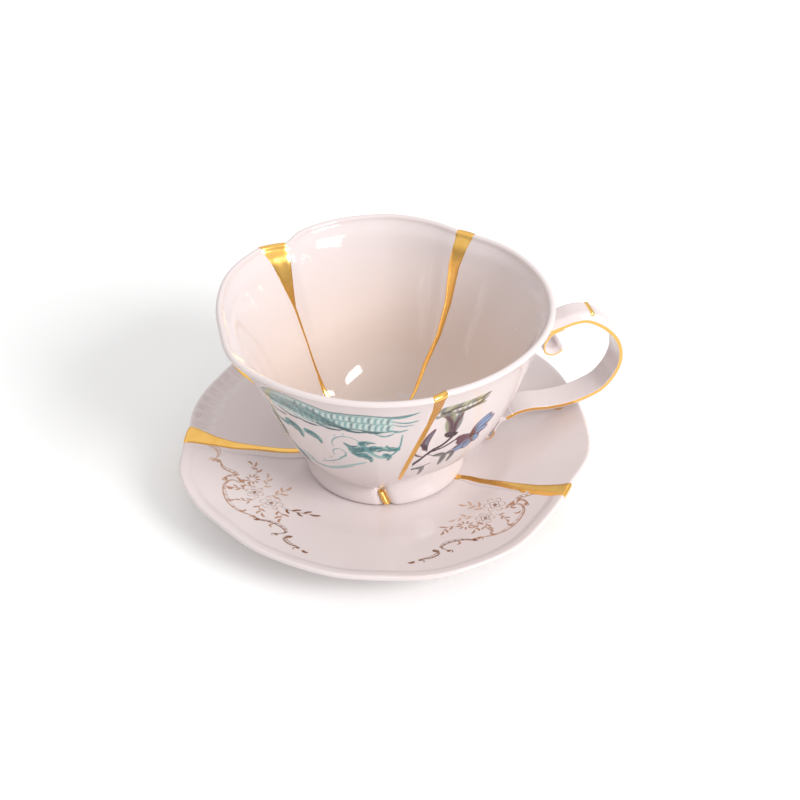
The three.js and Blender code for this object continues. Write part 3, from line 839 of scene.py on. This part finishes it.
def near_cup(angle, height):
    """Place on the cup of a drawing's x to the right and y up the wall, from one point of it."""
    x0, y0 = (on_cup(angle, height) - (axis_x, axis_y, 0))[:2]
    radius = math.hypot(x0, y0)
    lean = 0.8

    def place(x, y):
        return on_cup(angle + math.degrees(x / radius), height + lean * y)
    return place


teal, deep_teal, pale_teal, wash = "#5c9092", "#35595f", "#92b5b0", "#b5c9c5"
band_top = np.array((
    (204, 50), (208, 53), (214, 56.2), (220, 57.4), (227, 56.8), (234, 54), (241, 54.3), (250, 54.8),
    (259, 54), (268, 55),
))
band_foot = np.array((
    (203, 40), (207, 43.5), (212, 46), (216, 45.2), (223, 44.8), (230, 44.8), (240, 45.6), (249, 45.6),
    (256, 45), (261, 45.4), (268, 48),
))


def band_at(angle, share):
    """Place on the band, at 0 to 1 of its height."""
    low = np.interp(angle, band_foot[:, 0], band_foot[:, 1])
    high = np.interp(angle, band_top[:, 0], band_top[:, 1])
    return (angle, low + (high - low) * share)


teal_marks = []
for share in np.linspace(0.1, 0.9, 5):
    row = [band_at(angle, share) for angle in range(209, 263, 5)]
    teal_marks.append(mark(on_cup, row, 2.4, wash, 0.8, taper=0.3, steps=30))
for cell in range(16):
    angle = 224 + 2.25 * cell
    for share in (0.27, 0.68):
        lean = 0.06 * math.sin(2.4 * cell)
        window = (band_at(angle + 0.9, share - 0.12 + lean), band_at(angle + 1.4, share + 0.1 + lean))
        teal_marks.append(mark(on_cup, window, 0.7 + 0.3 * math.sin(1.7 * cell) ** 2, "#d3deda", 0.75))
        edge = (band_at(angle, share - 0.2), band_at(angle + 0.9, share + 0.2))
        teal_marks.append(leaf_mark(on_cup, *edge, 0.8, teal if cell % 3 else deep_teal, 0.12, 0.8))
# Lines along the band: share of its height, first and last angle, width, colour and strength.
for share, first, last, width, colour, strength in (
    (0.97, 205, 267, 0.8, deep_teal, 0.9), (0.86, 206, 252, 0.5, teal, 0.85),
    (0.49, 214, 258, 0.6, teal, 0.85), (0.05, 224, 262, 0.7, deep_teal, 0.8),
    (0.62, 207, 232, 0.5, deep_teal, 0.7), (0.34, 206, 240, 0.6, teal, 0.8),
):
    row = [band_at(angle, share) for angle in np.linspace(first, last, 9)]
    teal_marks.append(mark(on_cup, row, width, colour, strength, taper=0.7, steps=40))
# Feathers that sweep back from the left end and along the lower border.
for feather in range(11):
    base = band_at(205 + 2.3 * feather, 0.95 - 0.02 * feather)
    tip = band_at(213 + 3.2 * feather, 0.22 - 0.03 * feather)
    colour = (deep_teal, "#4c7577", teal)[feather % 3]
    teal_marks.append(leaf_mark(on_cup, base, tip, 1.5 - 0.05 * feather, colour, -0.06, 0.85))
for angle, share, length, drop in (
    (206, 0.1, 9, 1), (211, 0.02, 11, 2), (219, 0.0, 12, 1.2), (228, 0.06, 13, 1), (238, 0.05, 12, 0.8),
    (247, 0.04, 10, 0.4), (231, 0.3, 13, 2.4),
):
    x, y = band_at(angle, share)
    teal_marks.append(leaf_mark(on_cup, (x, y), (x + length, y - drop), 1.1, deep_teal, -0.07, 0.9))
# Loose ends of the basket work on the right, and leaves on the far left, seen along the wall.
teal_marks += leaf_marks(on_cup, 0.85, (
    ((256, 53.4), (269.4, 55.6), 1.2, teal, -0.1), ((258, 51.6), (270.6, 51), 0.9, teal, -0.12),
    ((259, 49.6), (268, 48.6), 0.8, teal, -0.1), ((257, 47), (266, 46.4), 1.0, teal, -0.15),
    ((252, 45), (261, 45), 0.9, teal, -0.2),
    ((203, 46), (204, 33), 1.8, teal, 0.12), ((201, 40), (205, 27), 2.2, deep_teal, 0.12),
    ((198, 34), (203, 24), 1.8, teal, 0.12), ((206, 24), (211, 15), 2.4, deep_teal, 0.12),
    ((212, 24), (219, 18.6), 1.4, pale_teal, 0.12), ((204, 27), (208, 18), 1.5, teal, 0.12),
))


def acanthus_marks(angle, height, turn, size):
    """Scrolled leaf of three lobes that curl the same way, pale at the middle and dark at the tips."""
    place = near_cup(angle, height)
    marks = []
    for spread, reach, colour in ((0, 1.0, pale_teal), (34, 0.74, teal), (66, 0.5, teal)):
        way = math.radians(turn + spread)
        tip = np.array([math.cos(way), math.sin(way)]) * size * reach
        marks.append(leaf_mark(place, (0, 0), tip, 0.34 * size, colour, 0.42, 0.9))
        marks.append(leaf_mark(place, tip * 0.25, tip * 1.04, 0.17 * size, deep_teal, 0.3, 0.8))
    return marks


teal_marks += stroke_marks(on_cup, 0.9, 0.35, 36, (
    (((209, 23), (214, 20.5), (220, 19.6), (227, 20.4), (234, 22.8), (242, 26.2), (248, 28.6)),
     1.0, pale_teal),
    (((211, 22), (216, 19.6), (226, 19.4), (234, 21.9), (242, 25.2)), 0.35, teal),
    (((248, 38.5), (250.6, 34.8), (254.6, 32.4), (258.8, 32.8), (262.2, 36.4), (263.4, 43.6)), 0.7, teal),
    (((247.8, 37), (251, 33.6), (255, 31.8), (258.6, 32)), 1.3, pale_teal),
    (((234, 34.6), (234.2, 37), (236.8, 39.8), (241.8, 41.4), (245.4, 40.2), (248, 37.2)), 0.5, teal),
    (((224, 22.8), (231.4, 25.6), (236.8, 28.8), (239.4, 32), (237, 33.8), (233.2, 31.8), (233.4, 29.4)),
     0.5, teal),
))
for angle, height in ((226.6, 24), (231, 26.4), (236, 28), (239, 29.5), (236, 39.8), (240, 41.4)):
    teal_marks.append(leaf_mark(on_cup, (angle, height), (angle + 1, height + 1.6), 0.5, pale_teal, 0.3, 0.8))
# Angle, height, direction and size of each scrolled leaf.
for spray in (
    (248, 37.2, 172, 6.4), (247.8, 37.6, 30, 4.4), (248.6, 33.6, 150, 6.0), (246.4, 31.6, -52, 4.4),
    (250.6, 34.6, 4, 6.4), (255.4, 33, -70, 4.0), (262.2, 36.8, 150, 4.4), (212, 38.4, 178, 4.6),
    (211.6, 37.8, -52, 7.6), (221.6, 37, -38, 6.4),
):
    teal_marks += acanthus_marks(*spray)
plum, dark_plum, petal_blue, leaf_grey, olive = "#643e4b", "#3a2a34", "#7191b6", "#7f7f7c", "#8f9075"
sprig_marks = stroke_marks(on_cup, 0.95, 0.25, 24, (
    (((265.4, 22.6), (271.6, 28.2), (276.2, 31.2), (281.7, 33.2), (285.4, 36)), 1.25, dark_plum),
    (((276, 30.6), (282.9, 31.9), (289.8, 34.4), (296, 33)), 0.9, dark_plum),
    (((275.4, 30.4), (279.4, 28), (284, 27.6), (290.4, 30.4)), 0.45, dark_plum),
    (((266, 22.8), (271.8, 23.4), (278.4, 24)), 0.6, dark_plum),
))
# Leaves of the sprig.
sprig_marks += leaf_marks(on_cup, 0.9, (
    ((273.2, 33), (277, 43.4), 3.0, plum, 0.14), ((273.6, 34.5), (276.2, 42), 1.5, "#6a6d78", 0.12),
    ((270, 37.6), (274.8, 32), 1.4, dark_plum, 0.15), ((268.5, 33), (273, 30), 1.0, plum, -0.1),
    ((278.4, 28.6), (283.4, 21), 2.4, leaf_grey, 0.45), ((278.6, 28.4), (282.8, 22), 0.6, dark_plum, 0.6),
    ((283.6, 27.6), (287.8, 21.6), 2.0, leaf_grey, 0.55), ((284, 27.4), (287.2, 22.4), 0.55, dark_plum, 0.7),
    ((269, 23.2), (273.8, 17.4), 2.0, leaf_grey, 0.5), ((269.4, 23), (273.2, 18.2), 0.5, dark_plum, 0.6),
    ((266, 20.6), (270, 23), 1.2, dark_plum, 0.1),
))
# Bell flower: dark edges, a grey-green throat and a dark calyx.
sprig_marks += leaf_marks(on_cup, 0.92, (
    ((284.8, 37.4), (282.4, 50), 3.6, olive, 0.05), ((285.2, 37.4), (286, 49), 3.2, leaf_grey, -0.05),
    ((284, 36.8), (277.6, 50.6), 1.7, plum, -0.16), ((286.4, 36.2), (288, 48.4), 1.5, plum, 0.14),
    ((284.4, 39), (281, 47.4), 0.5, dark_plum, -0.1), ((285.6, 39), (285.8, 47), 0.45, dark_plum, 0.05),
    ((282, 39), (287.6, 37.4), 2.9, dark_plum, -0.1), ((277.4, 50.2), (282.6, 47.6), 1.7, dark_plum, 0.2),
))
# Ragged petals that open to the right of the bell.
for step in range(10):
    x, y = 275.4 + 2.1 * step, 50.6 + 0.05 * step
    upper, lower = (olive, leaf_grey, "#b5b592")[step % 3], (leaf_grey, olive)[step % 2]
    sprig_marks += [
        leaf_mark(on_cup, (x, y), (x + 3.4, y + 2.1), 1.9, upper, 0.2, 0.85),
        leaf_mark(on_cup, (x, y - 0.4), (x + 3.0, y - 1.9), 1.5, lower, -0.2, 0.8),
        leaf_mark(on_cup, (x, y), (x + 2.6, y + 1.2), 0.35, "#54503f", 0.2, 0.7),
    ]
sprig_marks += stroke_marks(on_cup, 0.8, 0.7, 14, (
    (((284, 48.6), (289.4, 49), (294.4, 50.2), (297.6, 51.8)), 1.3, "#4c3a33"),
    (((278, 50), (284, 51.2), (288, 51)), 1.1, "#4c3a33"),
    (((291, 51.4), (294.6, 52.4), (297.4, 53.4)), 0.9, "#4c3a33"),
))
# Blue flower: plum petals with blue faces.
bloom = near_cup(297, 32.4)
for turn, size in ((62, 11), (44, 10), (12, 6), (152, 6.6), (182, 5.6), (226, 8.4), (256, 7), (300, 5.8)):
    tip = np.array([math.cos(math.radians(turn)), math.sin(math.radians(turn))]) * size
    inner = plum if 150 < turn < 200 else petal_blue
    sprig_marks.append(leaf_mark(bloom, (0, 0), tip, 2.1 + 0.26 * size, plum, 0.08, 0.92))
    sprig_marks.append(leaf_mark(bloom, tip * 0.16, tip * 0.97, 1.0 + 0.2 * size, inner, 0.14, 0.95))
    sprig_marks.append(leaf_mark(bloom, tip * 0.1, tip * 0.7, 0.4, dark_plum, 0.04, 0.85))
sprig_marks.append(curl_mark(bloom, (0, 0), 0.9, 0, 1.5, 0.6, dark_plum))


def outside_of_cup(places, start, end):
    """Picks the vertices of the cup's outer face between two angles."""
    angle, radius = polar(places)
    height = places[:, 2] - well_height
    column = np.clip(angle - print_angles[0], 0, len(print_angles) - 1).astype(int)
    row = np.clip(height - print_heights[0], 0, len(print_heights) - 1).astype(int)
    on_wall = radius > print_walls[column, row] - 0.8
    return (angle > start) & (angle < end) & (height > 12) & (height < 59) & on_wall


blank_ink(cup)
paint(cup, teal_marks, lambda places: outside_of_cup(places, 186, 269))
paint(cup, sprig_marks, lambda places: outside_of_cup(places, 269, 320))

# Gilding: gold lustre brushed along both edges of the strap, its scrolls and its leaf. It goes by the
# vertices of their side faces, beyond the wall.
x, y, z = (vertices_of(cup) - (axis_x, axis_y, well_height)).T
beyond_wall = (x > outer_radius(0.0, z) + 0.3) & (np.abs(y) < 5)
on_strap_edge = (np.abs(y) > strap_width / 2 - 0.03) & ((x > 40.4) | (z < 5.6))
on_leaf = (np.abs(y) > leaf_width / 2 - 0.8) & (z < 10.6) & (x > 55) & (x < 64)
lustre = cup.data.attributes.new("lustre", "FLOAT", "POINT")
lustre.data.foreach_set("value", (beyond_wall & (on_strap_edge | on_leaf)).astype(float))

# Painted shade: the cup's inside gets a darker, warmer colour towards its bottom, standing in for the shade
# and warm bounced light in the bowl.
inner_radii = []
for angle in range(0, 360, 4):
    inside = cup_section(angle)[1][::-1]
    inner_radii.append(np.interp(np.arange(62.0), inside[:, 1] - well_height, inside[:, 0]))
turn_step = np.rint(np.degrees(np.arctan2(y, x)) / 4).astype(int) % 90
height_step = np.clip(np.rint(z), 0, 61).astype(int)
inside_of_cup = np.hypot(x, y) < np.array(inner_radii)[turn_step, height_step] + 0.9
inside_of_cup &= z > floor_height - 0.5
# Share of painted shade on the inside: none near the rim, full lower down.
painted_inside_shade = cup.data.attributes.new("painted_inside_shade", "FLOAT", "POINT")
painted_inside_shade.data.foreach_set("value", inside_of_cup * ease(z, cup_height - 2, cup_height - 40))

cup_glaze = glazed_porcelain("glazed and gilt porcelain, cup")
tree = cup_glaze.node_tree
shader = tree.nodes["Principled BSDF"]
inside_shade_share = add_node(tree, "ShaderNodeAttribute", {"attribute_name": "painted_inside_shade"}).outputs["Fac"]
gilt_share = add_node(tree, "ShaderNodeAttribute", {"attribute_name": "lustre"}).outputs["Fac"]
gilt_edge = add_node(tree, "ShaderNodeMapRange", {"From Min": 0.4, "From Max": 0.6}, {"Value": gilt_share})
# Painted shade: the darker, warmer colour #dac9c0 is mixed into the inside of the cup towards its bottom.
inside_shade_mix = add_node(
    tree, "ShaderNodeMix", {"data_type": "RGBA", "B": "#dac9c0"},
    {"Factor": inside_shade_share, "A": shader.inputs["Base Color"].links[0].from_socket},
)
gilding = add_node(
    tree, "ShaderNodeMix", {"data_type": "RGBA", "B": "#f6bf6c"},
    {"Factor": gilt_edge.outputs["Result"], "A": inside_shade_mix.outputs["Result"]},
)
tree.links.new(gilding.outputs["Result"], shader.inputs["Base Color"])
tree.links.new(gilt_edge.outputs["Result"], shader.inputs["Metallic"])
cup.data.materials.clear()
cup.data.materials.append(cup_glaze)
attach(cup, "root")
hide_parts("cup")

# Gold seams of the cup
# The joints of the wall, filled and gilded on both faces and over the rim with the same gold lustre
# as the saucer's.

# Lower end outside and inside, then the height over the foot, angle and width of each station.
cup_seams = {
    "cup_seam_left": (10.5, 9.0, (
        (10.5, 126.2, 2.6), (18.3, 124.8, 0.9), (28.8, 124.6, 0.6), (41.8, 125.2, 0.9), (48.5, 124.9, 3.6),
        (55.3, 124.2, 6.4), (62, 123.6, 9.6),
    )),
    "cup_seam_right": (10.5, 7.6, (
        (8, 51, 1.8), (10.5, 50, 2), (16.7, 49, 2.1), (27, 44.4, 1.9), (38.3, 42.6, 2.8), (50.7, 43, 4.6),
        (58.4, 42.0, 6.2), (62, 41.8, 7.6),
    )),
    "cup_seam_front": (14.0, 14.0, (
        (14, 264.3, 1.3), (19.7, 264.8, 1.6), (27.9, 267, 1.7), (38, 270.3, 1.9), (47.5, 273.3, 2.3),
        (55, 275.2, 4.0), (62, 275, 5.6),
    )),
}


def cup_seam(name, outer_end, inner_end, stations):
    """Gold through the wall along one joint, from its lower ends up over the rim."""
    heights, middles, widths = np.array(stations, float).T

    def place_at(side, x, row):
        low = outer_end if side > 0 else inner_end
        height = low + (cup_height - low) * row
        # The second round uses the height that the first one finds.
        for _ in range(2):
            half_width = np.interp(height, heights, widths) / 2 * math.sqrt(min(row * 20, 1))
            rough_radius = 30 + height * 0.35
            angle = np.interp(height, heights, middles) + math.degrees(x * half_width / rough_radius)
            outside, inside = cup_section(angle)
            face = lifted(outside[wall_part], proud(x))[::-1] if side > 0 else lifted(inside, proud(x))
            # Heights from the rim down, each a trace lower than the last.
            falling = face[:, 1] - np.arange(len(face)) * 1e-7
            end = np.interp(-(low + well_height), -falling, measured(face))
            radius, height = resampled(face, [end * (1 - row)])[0] - (0, well_height)
        return turned(angle, radius, height + well_height)

    gold_seam(name, np.linspace(0, 1, seam_rows), place_at)


for seam_name, seam in cup_seams.items():
    cup_seam(seam_name, *seam)

# Gold bead of the foot
# The foot ring was joined here too. The joint was filled, and its gold lustre stands out as a bead
# between the rounded ends of the foot.

bead_rise = 1.95
bead_sink = 0.2
bead_depth = 1.6
bead_foot_width = 3.1
bead_top_width = 2.5
bead_back_width = 1.2

rows = np.linspace(0, 1, 22)
heights = 0.05 + (bead_height - 0.1) * rows
ends = np.sqrt(np.maximum(1 - np.abs(2 * rows - 1) ** 6, 0))
half_widths = (bead_foot_width + (bead_top_width - bead_foot_width) * rows) / 2 * ends
foot_faces = []
for row, height in zip(rows, heights):
    outside, _ = cup_section(joint_angle(row))
    ring = outside[(outside[:, 0] > foot_radius - 2) & (outside[:, 1] < well_height + 6.5)]
    ring = ring[np.argsort(ring[:, 1], kind="stable")]
    foot_faces.append(np.interp(height + well_height, ring[:, 1], ring[:, 0]))
bead = []
for x in np.linspace(-1, 1, 15):
    swell = (bead_rise + bead_sink) * math.sqrt(max(1 - x * x, 0)) * ends
    angles = joint_angle(rows) + np.degrees(x * half_widths / foot_radius)
    bead.append(turned(angles, np.array(foot_faces) - bead_sink + swell, heights + well_height))
for x in (1, -1):
    angles = joint_angle(rows) + np.degrees(x * bead_back_width / 2 * ends / foot_radius)
    bead.append(turned(angles, foot_radius - bead_depth, heights + well_height))
bead.append(bead[0])
foot_bead = skin("foot_bead_gold", np.array(bead))
foot_bead.data.materials.append(gold)
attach(foot_bead, "root")
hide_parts("cup_foot_seam")

# Gold mend of the handle
# The strap was broken across its thumb rest. A rounded bar of filler under gold lustre lies in the
# joint and bends down over the bevels.

bar_place = 0.232
bar_radius = 1.0
bar_flatness = 0.75
bar_sink = 0.35
bar_end_gap = 0.8
bevel_slope = 1.15

strap_line = smooth_path(strap_path, 500)
bar_at = round(bar_place * (len(strap_line) - 1))
bar_way = strap_line[bar_at + 1] - strap_line[bar_at - 1]
bar_way /= np.linalg.norm(bar_way)
bar_out = np.array([-bar_way[1], bar_way[0]])
across = np.linspace(-1, 1, 31)
reach = across * (strap_width / 2 - bar_end_gap)
drop = np.maximum(np.abs(reach) - (strap_width / 2 - strap_bevel), 0) * bevel_slope
size = bar_radius * np.sqrt(np.maximum(1 - across**8, 0))
crown = strap_line[bar_at] + np.outer(strap_thickness - strap_edge / 2 - bar_sink - drop, bar_out)
bar_columns = []
for turn in np.radians(np.linspace(0, 360, 17)):
    outwards = bar_way * math.cos(turn) + bar_out * bar_flatness * math.sin(turn)
    bar_columns.append(by_handle(crown + np.outer(size, outwards), reach))
bar = skin("handle_bar_gold", np.array(bar_columns))
bar.data.materials.append(gold)
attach(bar, "root")
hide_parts("handle_seam")

# Floor, light and camera
# Pale paper floor and a soft studio, with one large lamp at the front right and a sky that is
# brighter overhead. The camera stands at the photograph's angle.
bpy.ops.object.select_all(action="DESELECT")
bpy.ops.mesh.primitive_plane_add(size=40)
floor = bpy.context.active_object
floor.name = "floor"
floor_paper = bpy.data.materials.new("white paper")
floor_paper.use_nodes = True
paper_shader = floor_paper.node_tree.nodes["Principled BSDF"]
paper_shader.inputs["Base Color"].default_value = linear("#f2f2f2")
paper_shader.inputs["Roughness"].default_value = 0.9
paper_shader.inputs["Emission Color"].default_value = linear("#ffffff")
paper_shader.inputs["Emission Strength"].default_value = 0.05
floor.data.materials.append(floor_paper)

scene = bpy.context.scene
scene.view_settings.view_transform = "Standard"
world = bpy.data.worlds.new("studio")
scene.world = world
world.use_nodes = True
sky = world.node_tree
sky_place = add_node(sky, "ShaderNodeTexCoord").outputs["Generated"]
sky_height = add_node(sky, "ShaderNodeSeparateXYZ", links={"Vector": sky_place}).outputs["Z"]
sky_light = add_node(sky, "ShaderNodeMapRange", {
    "interpolation_type": "SMOOTHSTEP", "From Min": -0.1, "From Max": 0.7, "To Min": 0.3, "To Max": 0.95,
}, {"Value": sky_height})
sky.nodes["Background"].inputs["Color"].default_value = (1.0, 0.995, 0.99, 1.0)
sky.links.new(sky_light.outputs["Result"], sky.nodes["Background"].inputs["Strength"])


def softbox(name, place, aim, size, power):
    """Square lamp that looks at a point."""
    light = bpy.data.lights.new(name, "AREA")
    light.shape = "SQUARE"
    light.size = size
    light.energy = power
    lamp = bpy.data.objects.new(name, light)
    scene.collection.objects.link(lamp)
    lamp.location = place
    lamp.rotation_euler = (Vector(aim) - Vector(place)).to_track_quat("-Z", "Y").to_euler()


softbox("key", (1.2, -1.43, 1.2), (0, 0, 0.03), 0.88, 37)

target = Vector((-1.78, -0.73, 29.38)) * mm
towards = Vector((-0.1911, -0.7667, 0.6129)).normalized()
camera_distance = 0.48
roll = math.radians(-0.48)
camera_data = bpy.data.cameras.new("camera")
camera_data.lens = 66.2
camera_data.sensor_width = 36
camera = bpy.data.objects.new("camera", camera_data)
scene.collection.objects.link(camera)
camera.matrix_world = (
    Matrix.Translation(target + towards * camera_distance)
    @ towards.to_track_quat("Z", "Y").to_matrix().to_4x4()
    @ Matrix.Rotation(roll, 4, "Z")
)
scene.camera = camera
